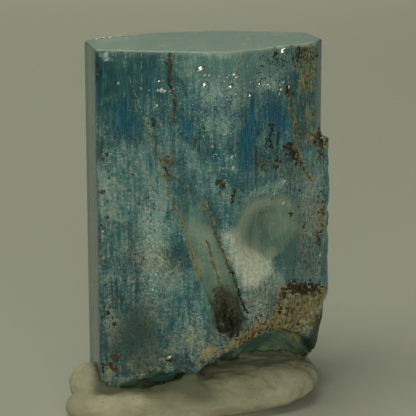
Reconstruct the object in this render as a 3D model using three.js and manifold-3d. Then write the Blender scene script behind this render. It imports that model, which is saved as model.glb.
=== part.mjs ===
// A natural aquamarine crystal standing in a pad of display putty.
//
// Millimetres, +Z up. The prism's long axis is along Z and its broad front face looks
// toward -Y. The origin is on the ground under the middle of the whole piece.
//
// Two pieces, which come apart by hand: the crystal, and the putty it is pressed into.

import * as THREE from 'three';
import { mergeVertices } from 'three/addons/utils/BufferGeometryUtils.js';
import Module from 'manifold-3d';

const wasm = await Module();
wasm.setup();

// ---- Driving dimensions ---------------------------------------------------------------

const CRYSTAL_TOP = 33.2; // the flat glassy termination, above the ground
const CRYSTAL_FOOT = 1.6; // the lowest point of the broken end, inside the putty
const RIM_BEVEL = 0.15; // the fine worn edge around the termination
const FLARE = 0.06; // how much the right half widens from the termination to the foot

// Corners of the prism seen from above, counterclockwise from the left end of the front
// face: x, y and the radius that wear and striation leave on the edge.
const PRISM_CORNERS = [
  [-9.0, -5.5, 0.7],
  [3.0, -7.9, 2.4],
  [12.1, 1.7, 0.9],
  [10.7, 9.3, 1.2],
  [2.5, 11.4, 2.4],
  [-4.6, 9.0, 2.0],
  [-10.55, 2.6, 0.8],
];

const STEP_HEIGHT = 24.1; // the ledge on the right corner, above the ground
const STEP_DEPTH = 0.8; // how far the corner above the ledge stands back
const STEP_WIDTH = 4.6; // half width of the splinter that came away, across the corner
const STEP_TURN = 78; // degrees, direction of that face seen from above
const STEP_REACH = 5.5; // half the height of the splinter, past the top of the crystal

const SCAR_CENTRE = [6.4, -4.4, 16.8]; // the shell-shaped scar on the front right face
const SCAR_TURN = 46.5; // degrees, direction of the face seen from above
const SCAR_HALF_AXES = [5.3, 3.0, 4.3]; // of the ellipsoid: along, into and up the face
const SCAR_DEPTH = 0.8;

const GROOVE_TOP = [-1.15, 20.4]; // the slanting cleft on the front face: x, z at its top
const GROOVE_FOOT = [3.45, 8.4]; // and at its deep lower end
const GROOVE_WIDTH = 2.8;
const GROOVE_DEPTH = 0.5; // of its left border, at the lower end
const GROOVE_TILT = 14; // degrees, how steeply its floor dips toward its right border

// The broken end: curved fractures, each the inside of an ellipsoid: centre, half axes, and the
// direction it lies in seen from above, in degrees.
const FRACTURES = [
  [[6.0, -4.6, -1.0], [9.5, 5.0, 8.0], 46.5], // deep under the front right face
  [[-1.0, -8.0, -4.0], [12.0, 7.0, 7.9], 0], // along the foot of the front face
  [[19.5, 2.0, 2.5], [9.5, 9.5, 9.5], 0], // under the right corner
  [[-2.5, 17.5, 0.3], [13.0, 9.5, 3.6], 0], // under the back
];

// The putty is three joined lumps: a flattened pad, the finger-rolled bead along its front, and
// the shoulder squeezed up beside the left end. Centre above the ground, half axes, and in
// degrees the direction seen from above and how steeply the lump rises toward its right end.
const PAD = { centre: [0.35, -0.9, 1.6], halfAxes: [10.95, 8.3, 2.1], turn: 8, rise: 0 };
const BEAD = { centre: [-0.5, -5.6, 1.3], halfAxes: [11.55, 3.3, 2.2], turn: 11.5, rise: 3 };
const SHOULDER = { centre: [-8.7, -3.4, 1.5], halfAxes: [3.2, 4.0, 1.8], turn: 0, rise: 0 };
const SEAT_GAP = 0.3; // clearance between the crystal and its seat in the putty

const degrees = THREE.MathUtils.degToRad;

// ---- Solid helpers --------------------------------------------------------------------

// A closed three.js geometry, placed by a matrix, as a solid that can be joined and cut.
function solid(geometry, matrix = new THREE.Matrix4()) {
  const plain = geometry.clone();
  plain.deleteAttribute('normal');
  plain.deleteAttribute('uv');
  plain.applyMatrix4(matrix);
  const merged = mergeVertices(plain, 1e-4);
  return new wasm.Manifold(new wasm.Mesh({
    numProp: 3,
    vertProperties: new Float32Array(merged.attributes.position.array),
    triVerts: new Uint32Array(merged.index.array),
  }));
}

// A solid as a named mesh with its own material.
function namedMesh(name, body, material) {
  const { vertProperties, triVerts } = body.getMesh();
  const geometry = new THREE.BufferGeometry();
  geometry.setAttribute('position', new THREE.BufferAttribute(vertProperties, 3));
  geometry.setIndex(new THREE.BufferAttribute(triVerts, 1));
  geometry.computeVertexNormals();
  const mesh = new THREE.Mesh(geometry, material);
  mesh.name = name;
  return mesh;
}

// A matrix that places a shape: its centre, its turn about Z in degrees, and its scale.
function place(centre, turn = 0, scale = [1, 1, 1]) {
  const upright = new THREE.Vector3(0, 0, 1);
  return new THREE.Matrix4().compose(
    new THREE.Vector3(...centre),
    new THREE.Quaternion().setFromAxisAngle(upright, degrees(turn)),
    new THREE.Vector3(...scale),
  );
}

// A closed polygon whose corners are rounded, every corner with its own radius, and whose
// sides all stand out by one distance.
function roundedPolygon(corners, grow) {
  const count = corners.length;
  const at = (i) => new THREE.Vector2(...corners[(i + count) % count].slice(0, 2));
  const outline = new THREE.Shape();
  corners.forEach(([, , radius], i) => {
    const corner = at(i);
    const back = at(i - 1).sub(corner).normalize();
    const ahead = at(i + 1).sub(corner).normalize();
    const outward = back.clone().add(ahead).normalize().negate();
    const halfAngle = Math.acos(back.dot(ahead)) / 2;
    corner.addScaledVector(outward, grow / Math.sin(halfAngle));
    const setback = radius / Math.tan(halfAngle);
    const start = corner.clone().addScaledVector(back, setback);
    const end = corner.clone().addScaledVector(ahead, setback);
    if (i === 0) outline.moveTo(start.x, start.y);
    else outline.lineTo(start.x, start.y);
    outline.quadraticCurveTo(corner.x, corner.y, end.x, end.y);
  });
  outline.closePath();
  return outline;
}

// ---- The crystal ----------------------------------------------------------------------

// The whole prism before it was chipped and broken, down to a given height.
function prism(foot, grow) {
  const height = CRYSTAL_TOP - foot;
  const geometry = new THREE.ExtrudeGeometry(roundedPolygon(PRISM_CORNERS, grow - RIM_BEVEL), {
    depth: height - 2 * RIM_BEVEL,
    curveSegments: 4,
    bevelSize: RIM_BEVEL,
    bevelThickness: RIM_BEVEL,
    bevelSegments: 1,
  });
  geometry.translate(0, 0, foot + RIM_BEVEL);
  const position = geometry.attributes.position;
  for (let i = 0; i < position.count; i += 1) {
    const x = position.getX(i);
    const below = (CRYSTAL_TOP - position.getZ(i)) / (CRYSTAL_TOP - CRYSTAL_FOOT);
    if (x > 0) position.setX(i, x * (1 + FLARE * below));
  }
  return solid(geometry);
}

// The corner above the ledge, which has come away as one thin upright splinter.
function chippedCorner() {
  const outward = degrees(STEP_TURN - 90);
  const [cornerX, cornerY] = PRISM_CORNERS[2];
  const reach = 2; // runs out past the corner
  const centre = [
    cornerX + (reach - STEP_DEPTH) * Math.cos(outward),
    cornerY + (reach - STEP_DEPTH) * Math.sin(outward),
    STEP_HEIGHT + STEP_REACH,
  ];
  const splinter = new THREE.BoxGeometry(2 * reach, 2 * STEP_WIDTH, 2 * STEP_REACH);
  return solid(splinter, place(centre, STEP_TURN - 90));
}

// A shallow scoop left by a shell-shaped flake that came off the front right face.
function shellScar() {
  const outward = degrees(SCAR_TURN - 90);
  const [x, y, z] = SCAR_CENTRE;
  const away = SCAR_HALF_AXES[1] - SCAR_DEPTH;
  const centre = [x + away * Math.cos(outward), y + away * Math.sin(outward), z];
  return solid(new THREE.SphereGeometry(1, 44, 32), place(centre, SCAR_TURN, SCAR_HALF_AXES));
}

// The slanting cleft: a flat-floored trough that deepens toward its lower end.
function groove() {
  const [topX, topZ] = GROOVE_TOP;
  const [footX, footZ] = GROOVE_FOOT;
  const length = Math.hypot(topX - footX, topZ - footZ);
  const lean = Math.atan2(topX - footX, topZ - footZ);
  const deepen = Math.atan2(GROOVE_DEPTH, length);
  const [[leftX, leftY], [rightX, rightY]] = PRISM_CORNERS; // the two ends of the front face
  const slope = (rightY - leftY) / (rightX - leftX);
  const faceY = leftY + slope * (topX - leftX);
  const thickness = 4; // stands out past the face
  const box = new THREE.BoxGeometry(GROOVE_WIDTH, thickness, length);
  box.translate(GROOVE_WIDTH / 2, -thickness / 2, -length / 2);
  box.rotateZ(degrees(GROOVE_TILT));
  box.translate(-GROOVE_WIDTH / 2, 0, 0);
  const move = new THREE.Matrix4().makeTranslation(topX, faceY, topZ)
    .multiply(new THREE.Matrix4().makeRotationZ(Math.atan(slope)))
    .multiply(new THREE.Matrix4().makeRotationY(lean))
    .multiply(new THREE.Matrix4().makeRotationX(deepen));
  return solid(box, move);
}

// The curved fractures of the broken end, less a margin all round.
function brokenEnd(margin) {
  return FRACTURES.map(([centre, halfAxes, turn]) => (
    solid(new THREE.SphereGeometry(1, 48, 32), place(centre, turn, halfAxes.map((a) => a - margin)))
  ));
}

// The crystal, or with a margin the larger shape that its seat in the putty is cut with.
function crystalBody(margin = 0) {
  const chips = margin > 0 ? [] : [chippedCorner(), shellScar(), groove()];
  return [...chips, ...brokenEnd(margin)].reduce(
    (body, cutter) => body.subtract(cutter),
    prism(CRYSTAL_FOOT - margin, margin),
  );
}

// ---- The putty ------------------------------------------------------------------------

// One lump of putty: an ellipsoid that is filled out a little toward a box, with blunt ends.
function lump({ centre, halfAxes, turn, rise }) {
  const ball = new THREE.SphereGeometry(1, 48, 24);
  const position = ball.attributes.position;
  const squareness = 0.8; // 1 is a plain ellipsoid
  const fillOut = (v) => Math.sign(v) * Math.abs(v) ** squareness;
  for (let i = 0; i < position.count; i += 1) {
    const [x, y, z] = [position.getX(i), position.getY(i), position.getZ(i)].map(fillOut);
    position.setXYZ(i, x, y, z);
  }
  ball.applyMatrix4(new THREE.Matrix4().makeScale(...halfAxes));
  ball.rotateY(degrees(-rise));
  return solid(ball, place(centre, turn));
}

// The joined lumps, pressed flat against the ground.
function puttyBody() {
  const ground = new THREE.BoxGeometry(60, 60, 10);
  const lumps = lump(PAD).add(lump(BEAD)).add(lump(SHOULDER));
  return lumps.subtract(solid(ground, place([0, 0, -5])));
}

// ---- Assembly -------------------------------------------------------------------------

const crystalMaterial = new THREE.MeshStandardMaterial({
  color: new THREE.Color(0.16, 0.42, 0.5), roughness: 0.15, metalness: 0,
});
const puttyMaterial = new THREE.MeshStandardMaterial({
  color: new THREE.Color(0.62, 0.58, 0.48), roughness: 0.85, metalness: 0,
});

const group = new THREE.Group();
group.add(namedMesh('aquamarine_crystal', crystalBody(), crystalMaterial));
group.add(namedMesh('putty_pad', puttyBody().subtract(crystalBody(SEAT_GAP)), puttyMaterial));

const middle = new THREE.Box3().setFromObject(group).getCenter(new THREE.Vector3());
group.position.set(-middle.x, -middle.y, 0);

export default group;
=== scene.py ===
"""An aquamarine crystal standing in a pad of display putty: the looks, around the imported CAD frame.

The numbers in the shape functions are millimetres in the crystal's own coordinates, where the
prism's corners are stated. The frame itself is in metres.
"""
import math

import bmesh
import bpy
import numpy as np
from mathutils import Matrix, Vector
from mathutils.bvhtree import BVHTree


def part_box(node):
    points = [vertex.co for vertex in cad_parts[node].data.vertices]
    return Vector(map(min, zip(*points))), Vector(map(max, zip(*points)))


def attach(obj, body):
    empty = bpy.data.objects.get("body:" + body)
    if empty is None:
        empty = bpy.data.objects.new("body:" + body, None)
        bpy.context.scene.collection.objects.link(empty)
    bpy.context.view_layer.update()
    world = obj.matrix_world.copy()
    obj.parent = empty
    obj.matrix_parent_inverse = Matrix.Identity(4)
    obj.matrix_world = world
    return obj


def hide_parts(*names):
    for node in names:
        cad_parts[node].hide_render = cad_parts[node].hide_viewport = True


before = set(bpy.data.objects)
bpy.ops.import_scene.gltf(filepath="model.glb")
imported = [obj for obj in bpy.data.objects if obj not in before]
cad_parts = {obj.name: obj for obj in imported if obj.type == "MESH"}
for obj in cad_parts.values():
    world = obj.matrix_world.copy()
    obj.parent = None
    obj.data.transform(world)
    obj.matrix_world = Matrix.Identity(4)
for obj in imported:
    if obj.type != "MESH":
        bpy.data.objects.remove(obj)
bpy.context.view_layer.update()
scene = bpy.context.scene

MM = 0.001
CRYSTAL = "aquamarine_crystal"
PUTTY = "putty_pad"

# The prism's right and back sides in its own coordinates: they fix where those lie in the frame.
PRISM_RIGHT = 12.58
PRISM_BACK = 11.29
_, crystal_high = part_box(CRYSTAL)
SHIFT = np.array([crystal_high.x / MM - PRISM_RIGHT, crystal_high.y / MM - PRISM_BACK, 0.0])


def framed(point):
    """A point of the crystal's own coordinates, in the frame's metres."""
    return Vector((np.asarray(point, float) + SHIFT) * MM)


# ---- Numbers that vary smoothly ----


def smooth(low, high, value):
    """0 below low, 1 above high, with a smooth rise between them."""
    t = np.clip((value - low) / (high - low), 0, 1)
    return t * t * (3.0 - 2.0 * t)


def lattice(cells, seed):
    """A repeatable pseudo-random number from 0 to 1 at each whole-number cell."""
    x, y, z = (cells[..., i].astype(np.int64) for i in range(3))
    h = (x * 374761393 + y * 668265263 + z * 2147483647 + seed * 974711) & 0xFFFFFFFF
    h = ((h ^ (h >> 13)) * 1274126177) & 0xFFFFFFFF
    return ((h ^ (h >> 16)) & 0xFFFF) / 65535.0


def noise(points, scale, seed=0, octaves=1):
    """Smooth noise from -1 to 1 at each point; scale is the number of cells to a millimetre."""
    scale = np.broadcast_to(np.asarray(scale, float), (3,))
    total, weight = 0, 0.0
    for octave in range(octaves):
        p = points * scale * 2.0**octave + 17.3 * (octave + 1)
        cell = np.floor(p)
        f = p - cell
        f = f * f * (3.0 - 2.0 * f)
        value = 0.0
        for corner in range(8):
            step = np.array([corner & 1, corner >> 1 & 1, corner >> 2 & 1])
            share = np.prod(np.where(step == 1, f, 1 - f), axis=-1)
            value = value + share * lattice(cell + step, seed + octave)
        amplitude = 0.5**octave
        total = total + amplitude * (value * 2.0 - 1)
        weight += amplitude
    return total / weight


def unit(vector):
    return vector / np.linalg.norm(vector)


def blob(points, centre, half_axes, soft=0.5):
    """1 inside an ellipsoid, falling to 0 at its surface over the soft share of its radius."""
    reach = np.linalg.norm((points - np.array(centre)) / np.array(half_axes), axis=-1)
    return 1 - smooth(1 - soft, 1, reach)


def along(points, path):
    """Distance of each point from a path of straight stretches, in x and z only, and how far
    along the path its nearest point is, from 0 to 1."""
    path = np.array(path, float)
    flat = points[:, [0, 2]]
    lengths = np.linalg.norm(np.diff(path, axis=0), axis=1)
    starts = np.concatenate([[0.0], np.cumsum(lengths)]) / lengths.sum()
    best = np.full(len(points), 1e9)
    share = np.zeros(len(points))
    for i, (a, b) in enumerate(zip(path[:-1], path[1:])):
        t = np.clip((flat - a) @ (b - a) / lengths[i] ** 2, 0, 1)
        distance = np.linalg.norm(flat - (a + t[:, None] * (b - a)), axis=1)
        near = distance < best
        best = np.where(near, distance, best)
        share = np.where(near, starts[i] + t * (starts[i + 1] - starts[i]), share)
    return best, share


# ---- Mesh helpers ----


def new_object(name, data):
    item = bpy.data.objects.new(name, data)
    scene.collection.objects.link(item)
    return item


def own_copy(name, node):
    """A new object with a CAD node's shape, in millimetres of the crystal's own coordinates."""
    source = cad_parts[node]
    mesh = source.data.copy()
    mesh.name = name
    mesh.transform(Matrix.Translation(Vector(-SHIFT)) @ Matrix.Scale(1.0 / MM, 4) @ source.matrix_world)
    mesh.materials.clear()
    return new_object(name, mesh)


def remeshed(piece, voxel):
    """The same shape as an even mesh of small squares."""
    weld = piece.modifiers.new("weld", "WELD")
    weld.merge_threshold = 0.002
    modifier = piece.modifiers.new("voxels", "REMESH")
    modifier.mode = "VOXEL"
    modifier.voxel_size = voxel
    graph = bpy.context.evaluated_depsgraph_get()
    mesh = bpy.data.meshes.new_from_object(piece.evaluated_get(graph))
    piece.modifiers.clear()
    piece.data = mesh
    return piece


def per_vertex(mesh, what):
    """The place ("co") or the normal ("normal") of every vertex."""
    values = np.empty(len(mesh.vertices) * 3, np.float32)
    mesh.vertices.foreach_get(what, values)
    return values.reshape(-1, 3).astype(float)


def move_to(mesh, points):
    mesh.vertices.foreach_set("co", points.astype(np.float32).ravel())
    mesh.update()


def relaxed(mesh, points, share, rounds):
    """The points drawn toward the middle of their neighbours, each by its own share, to soften edges."""
    ends = np.empty(len(mesh.edges) * 2, np.int32)
    mesh.edges.foreach_get("vertices", ends)
    a, b = ends.reshape(-1, 2).T
    size = len(points)
    count = np.bincount(np.concatenate([a, b]), minlength=size)[:, None]
    for _ in range(rounds):
        total = [np.bincount(a, points[b, i], size) + np.bincount(b, points[a, i], size) for i in range(3)]
        points = points + share[:, None] * (np.stack(total, axis=1) / count - points)
    return points


def mask(mesh, name, values):
    """A named number at each vertex, for the material."""
    attribute = mesh.attributes.new(name, "FLOAT", "POINT")
    attribute.data.foreach_set("value", np.clip(values, 0, 1).astype(np.float32))


def finish_piece(piece, node=None):
    """Puts a piece that was made in millimetres into the frame, smooth shaded, on the one body."""
    piece.data.transform(Matrix.Scale(MM, 4) @ Matrix.Translation(Vector(SHIFT)))
    piece.data.shade_smooth()
    piece.data.update()
    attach(piece, "root")
    if node:
        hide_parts(node)
    return piece


# ---- Node helpers ----


class Nodes:
    """Short calls for building one material's nodes. Values may be numbers, colours or sockets."""

    def __init__(self, name):
        self.material = bpy.data.materials.new(name)
        self.material.use_nodes = True
        self.tree = self.material.node_tree
        self.shader = self.tree.nodes["Principled BSDF"]
        self.output = self.tree.nodes["Material Output"]
        metres = self.add("TexCoord").outputs["Object"]
        scaled = self.add("VectorMath", {0: metres, "Scale": 1.0 / MM}, operation="SCALE")
        self.place = scaled.outputs[0]

    def add(self, kind, inputs=None, **settings):
        """A new node with these settings and these values in its inputs."""
        node = self.tree.nodes.new("ShaderNode" + kind)
        for key, value in settings.items():
            setattr(node, key, value)
        for key, value in (inputs or {}).items():
            self.put(value, node.inputs[key])
        return node

    def put(self, value, socket):
        if isinstance(value, bpy.types.NodeSocket):
            self.tree.links.new(value, socket)
        elif isinstance(value, tuple):
            socket.default_value = (*value, 1) if len(socket.default_value) == 4 else value
        else:
            socket.default_value = value

    def surface(self, inputs):
        """Puts these values in the Principled shader's inputs."""
        for key, value in inputs.items():
            self.put(value, self.shader.inputs[key])

    def attribute(self, name):
        return self.add("Attribute", attribute_name=name).outputs["Fac"]

    def noise(self, scale, detail, roughness, stretch=(1, 1, 1), distortion=0):
        place = self.add("VectorMath", {0: self.place, 1: stretch}, operation="MULTIPLY")
        return self.add("TexNoise", {
            "Vector": place.outputs[0], "Scale": scale, "Detail": detail, "Roughness": roughness,
            "Distortion": distortion}).outputs["Fac"]

    def cells(self, scale):
        return self.add("TexVoronoi", {"Vector": self.place, "Scale": scale}).outputs["Distance"]

    def math(self, operation, a, b=0):
        return self.add("Math", {0: a, 1: b}, operation=operation).outputs[0]

    def times(self, a, b):
        return self.math("MULTIPLY", a, b)

    def plus(self, a, b):
        return self.math("ADD", a, b)

    def ramp(self, value, low, high, out_low=0, out_high=1):
        return self.add("MapRange", {
            "Value": value, "From Min": low, "From Max": high, "To Min": out_low, "To Max": out_high,
        }, interpolation_type="SMOOTHSTEP").outputs["Result"]

    def mix(self, share, a, b):
        """A mix of two colours."""
        return self.add("Mix", {0: share, 6: a, 7: b}, data_type="RGBA").outputs[2]

    def blend(self, share, a, b):
        """A mix of two numbers."""
        return self.add("Mix", {0: share, 2: a, 3: b}, data_type="FLOAT").outputs[0]

    def coats(self, colour, *coats):
        """A colour under a number of coats: where each one shows, how strongly, and its colour."""
        for where, strength, coat in coats:
            colour = self.mix(self.times(where, strength), colour, coat)
        return colour

    def bump(self, height, distance, strength):
        return self.add("Bump", {
            "Height": height, "Distance": distance * MM, "Strength": strength}).outputs["Normal"]


# ---- Grains: rust, crust and cleavage flakes made of many small lumps ----


def ball(level):
    """The corners and triangles of a round ball."""
    shape = bmesh.new()
    bmesh.ops.create_icosphere(shape, subdivisions=level, radius=1)
    corners = np.array([v.co for v in shape.verts])
    faces = np.array([[v.index for v in f.verts] for f in shape.faces])
    shape.free()
    return corners, faces


# A y well in front of the crystal, to look for its surface from.
IN_FRONT = -30.0


class Grains:
    """A growing list of lumps that sit on the crystal's surface and end up as one mesh."""

    def __init__(self, tree, seed):
        self.tree = tree
        self.random = np.random.default_rng(seed)
        self.lumps = []

    def surface(self, x, z):
        """The place and outward normal where the front shows a point x, z, if it does."""
        place, normal, _, _ = self.tree.ray_cast(Vector((x, IN_FRONT, z)), Vector((0, 1, 0)))
        return (np.array(place), np.array(normal)) if place else (None, None)

    def add(self, x, z, size, direction=(0, 0, 1), tone=0.5, sink=0.3, facing=None):
        """A lump at x, z: its half axes along its direction, across it and out of the surface."""
        place, normal = self.surface(x, z)
        if place is None:
            return
        out = unit(facing if facing is not None else normal)
        across = unit(np.cross(out, direction))
        lengthwise = np.cross(across, out)
        self.lumps.append((place - normal * sink * size[2], (lengthwise, across, out), size, tone))

    def line(self, path, width, tone, gap=0.11, wander=0.6, height=0.035, skip=0):
        """Lumps close together along a path of x, z points; width is the crack's half width, and
        skip is the share that is left out."""
        path = np.array(path, float)
        for a, b in zip(path[:-1], path[1:]):
            length = float(np.linalg.norm(b - a))
            ahead = (b - a) / length
            beside = np.array((ahead[1], -ahead[0]))
            for distance in np.arange(0, length, gap):
                off, wide, long, shade = self.random.uniform(-1, 1, 4)
                if self.random.random() < skip:
                    continue
                x, z = a + ahead * distance + beside * off * width * wander
                size = (gap * (1 + 0.5 * long), width * (0.8 + 0.5 * wide), height)
                self.add(x, z, size, (ahead[0], 0, ahead[1]), tone + 0.25 * shade)

    def scatter(self, centre, spread, count, size, tone):
        """Loose lumps around a point x, z."""
        for _ in range(count):
            u, v = self.random.normal(0, 0.5, 2)
            grow, shade = self.random.uniform(-1, 1, 2)
            reach = size * (1 + 0.45 * grow)
            place = (centre[0] + u * spread[0], centre[1] + v * spread[1])
            self.add(*place, (reach, reach, reach * 0.35), tone=tone + 0.25 * shade)

    def scatters(self, *rows):
        for row in rows:
            self.scatter(*row)

    def piece(self, name, material, level=2, rough=0.45):
        """All the lumps as one mesh of dented balls, each vertex with its lump's tone."""
        corners, faces = ball(level)
        count, size = len(self.lumps), len(corners)
        index = np.repeat(np.arange(count), size)
        balls = np.tile(corners, (count, 1))
        balls = balls * (1 + rough * noise(balls * 0.9 + index[:, None] * 7.31, 1, 61, 2))[:, None]
        places, axes, sizes, tones = (np.array(part) for part in zip(*self.lumps))
        points = places[index] + np.einsum("ij,ijk->ik", balls * sizes[index], axes[index])
        triangles = (faces[None] + (np.arange(count) * size)[:, None, None]).reshape(-1, 3)
        mesh = bpy.data.meshes.new(name)
        mesh.from_pydata(points.tolist(), [], triangles.tolist())
        mask(mesh, "tone", tones[index])
        mesh.materials.append(material)
        finish_piece(new_object(name, mesh))


# ---- The crystal's surface ----

CRYSTAL_VOXEL = 0.185

# Patches of the surface, by what shows there: the centre, the half axes, how soft the border is
# as a share of the radius, and how strong the patch is.
PATCHES = {
    # pale bloom; below 0 where the crystal is clear or darker: at the top left, in the deep
    # blue and above the left foot
    "frost": (
        ((-7.6, -6, 30.2), (3.2, 4, 5), 0.8, -0.5), ((-4.2, -6.4, 31.2), (2.4, 4, 3.6), 0.9, -0.3),
        ((-6, -6.2, 26.8), (2, 4, 2.2), 1, -0.45), ((-8, -5.6, 32.75), (0.5, 0.8, 0.35), 0.6, 1.2),
        ((-4, -6.5, 16.6), (2, 4, 5.8), 1, 0.65), ((-3.2, -6.7, 12.8), (2.6, 4, 2.8), 1, 0.45),
        ((-8.2, -6, 20.6), (1.6, 4, 4.6), 1, 0.3), ((-5.6, -6.3, 7.4), (3.4, 4, 4.2), 0.9, -0.2),
        ((-8, -5.8, 9), (1.3, 3, 2.4), 1, 0.3), ((-0.2, -7, 8), (1.7, 3, 3.8), 0.9, 0.35),
        ((3, -7.4, 29.8), (4.6, 4, 2), 1, 0.3), ((6.8, -4, 30.2), (2.6, 4, 1.4), 0.9, 0.35),
        ((4.55, -6.2, 25), (1, 3, 4), 1, -0.6), ((4.9, -6.2, 28.2), (0.6, 3, 3), 1, -0.5),
        ((6.9, -3.8, 27), (2.6, 3, 3.2), 0.9, -0.5), ((-1.2, -6.9, 26.6), (0.8, 3, 2.2), 1, -0.35),
        ((1.6, -7.6, 23.8), (1.1, 3, 1.3), 1, -0.5), ((10.6, -0.2, 18), (2.6, 4, 8), 0.9, 0.35),
        ((7, -3.6, 11.8), (2.6, 3, 2.6), 0.9, 0.3), ((1.6, -7.4, 27), (3.4, 4, 3), 1, 0.12),
        ((5.4, -5.5, 9.8), (2, 3, 2.8), 0.9, 0.75), ((6.6, -4.4, 20.3), (2.8, 3, 1.2), 0.9, 0.75),
    ),
    # deep blue, most of all in one upright strip right of the middle, with a bluer band below
    # the termination
    "blue": (
        ((-6.3, -6.2, 26.8), (2, 4, 2.6), 1, 0.3), ((-6.6, -6.2, 23.6), (2.4, 4, 3), 1, 0.5),
        ((-6.4, -6.2, 14), (2.6, 4, 5), 1, 0.4), ((-5.6, -6.3, 7.4), (3.4, 4, 4.2), 0.9, 0.15),
        ((4.55, -6.2, 25), (1, 3, 4.4), 1, 1.3), ((4.9, -6.2, 28.4), (0.6, 3, 3.4), 1, 1.3),
        ((6.9, -3.8, 26.9), (2.8, 3, 3.8), 0.9, 1.1), ((8, -2.6, 25.4), (1.1, 3, 2.6), 1, 0.9),
        ((-1.2, -6.9, 26.6), (0.9, 3, 2.4), 1, 0.5), ((1.6, -7.6, 23.8), (1.1, 3, 1.4), 1, 0.7),
        ((3, -7.6, 21.6), (1, 3, 1.8), 1, 0.5), ((11.6, 0.8, 27.6), (1, 2, 6), 0.9, 0.6),
        ((-7.2, -6.1, 27.3), (3.4, 3, 2.4), 1, 0.42), ((0.6, -7.2, 28.8), (4.6, 3, 3), 1, 0.4),
        ((10.8, 0.4, 11.6), (1.8, 2.4, 1.8), 0.9, 0.9), ((9.2, -1.4, 19.8), (1.8, 2.4, 2.8), 1, 0.7),
        ((2.4, -7.8, 19.2), (1, 3, 1.6), 1, 0.6), ((9.6, -1, 22.8), (0.8, 3, 1.6), 1, 0.6),
    ),
    # darker at the left foot and behind the crust; painted shade in the cleft's foot and its hole and in
    # the broken right corner
    "dark": (
        ((-5.4, -6.4, 7.4), (5.6, 5, 6.6), 1, 0.75), ((3.1, -7.2, 8.8), (1.7, 3, 2.8), 0.9, 1),
        ((2.2, -7, 11.2), (1.6, 3, 2.6), 1, 0.7), ((3.3, -7.2, 7.9), (1, 3, 0.9), 0.9, 0.9),
        ((9.6, -1.2, 10.4), (2.4, 2, 0.7), 0.9, 0.5), ((8.6, -2, 23.4), (0.7, 2, 1.2), 0.9, 0.6),
        ((-1.4, -7, 14.5), (0.6, 2, 0.5), 0.9, 0.8), ((11.7, 1, 5.2), (2.9, 4.5, 3.6), 0.7, 1.5),
    ),
    # dust, thinnest on the upper half
    "beige": (
        ((-5, -6.4, 7.6), (6.6, 5, 7.4), 1, 0.55), ((-4, -6.6, 4.4), (4, 4, 2.6), 1, 0.5),
        ((-2.4, -6.7, 14), (1.8, 4, 3), 1, 1.1), ((-5.2, -6.3, 14.6), (3.2, 4, 3.4), 1, 0.8),
        ((-0.2, -7, 7.4), (2, 3, 3.2), 1, 0.7), ((3.2, -7, 7.6), (3, 3, 2.4), 1, 1.1),
        ((6, -4.8, 9.6), (4, 4, 4), 1, 1.2), ((10.2, 0, 15.4), (3.2, 3.6, 8), 1, 1.15),
        ((8.4, -2, 21.6), (2.6, 3.4, 3.4), 1, 0.8),
    ),
    # grey veils, most of all under the termination and down the mottled left half
    "haze": (
        ((-4.3, -6.4, 24), (0.8, 3, 4.2), 0.8, 0.9), ((-3.1, -6.6, 20.4), (1.2, 3, 2.4), 0.9, 0.8),
        ((-6.4, -6.2, 18), (3.2, 3, 7), 1, 0.4), ((-2, -6.8, 12.4), (2.2, 3, 3), 1, 0.5),
        ((2.6, -7, 32), (5.4, 6, 3.6), 0.8, 1.3), ((7, -3.6, 31.8), (3.6, 4, 2.8), 0.8, 1.2),
        ((0.6, -7.4, 21.6), (2.2, 3, 3.8), 1, 0.5), ((10.6, -0.2, 18), (2.6, 4, 8), 0.9, 0.6),
        ((7, -3.6, 11.8), (2.6, 3, 2.6), 0.9, 0.7), ((3.6, -7, 18.6), (1.2, 3, 1.8), 1, 0.6),
    ),
    # smooth grey-green stone beside the scar, and below it the parts in shade
    "stone": (
        ((8.4, -2.2, 14.2), (2.4, 3, 3), 1, 0.8),
    ),
    "shade": (
        ((5.6, -5.2, 17.3), (1.9, 2.8, 1.9), 1, 0.75), ((8.6, -2.2, 14.4), (2.4, 2.8, 2.4), 1, 0.9),
        ((-0.6, -7, 18), (0.6, 2, 3), 1, 0.4),
    ),
    # tan stains, most of all at the right
    "ochre": (
        ((3, -7.2, 9.6), (1.6, 3, 3), 1, 0.5), ((11.9, 1.2, 16), (0.9, 1.6, 4.6), 0.9, 0.65),
        ((-8.1, -5.9, 3.8), (1.6, 2, 2.4), 0.9, 0.75), ((6.2, -4.8, 22.6), (1.2, 2, 1.2), 1, 0.6),
    ),
}

# Outlines, as corners of x and z, counterclockwise. The stained strip high on the right, and the
# iron-stained crust low on the right.
STRIP = ((9.4, 23.4), (12.6, 23.4), (12.6, 33.4), (8.7, 33.4), (8.3, 29))
CRUST = ((5.4, 6.6), (9.6, 5.4), (12.8, 8.6), (12.8, 10.3), (9.4, 11), (8.3, 11.5), (7, 9.6))

# The cream wedge between the cleft and the scar.
WEDGE = ((3.9, 11.8), (5, 11.7), (6.6, 13), (6.8, 14), (3, 17.3), (1.9, 16.9))

# Cracks in the faces that face forward, each a path of x and z.
FISSURE = ((-2.3, 33), (-2.3, 31.9), (-2.45, 31), (-2.25, 30.1), (-1.9, 29.2), (-1.85, 28.5),
        (-2, 27.8))
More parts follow.
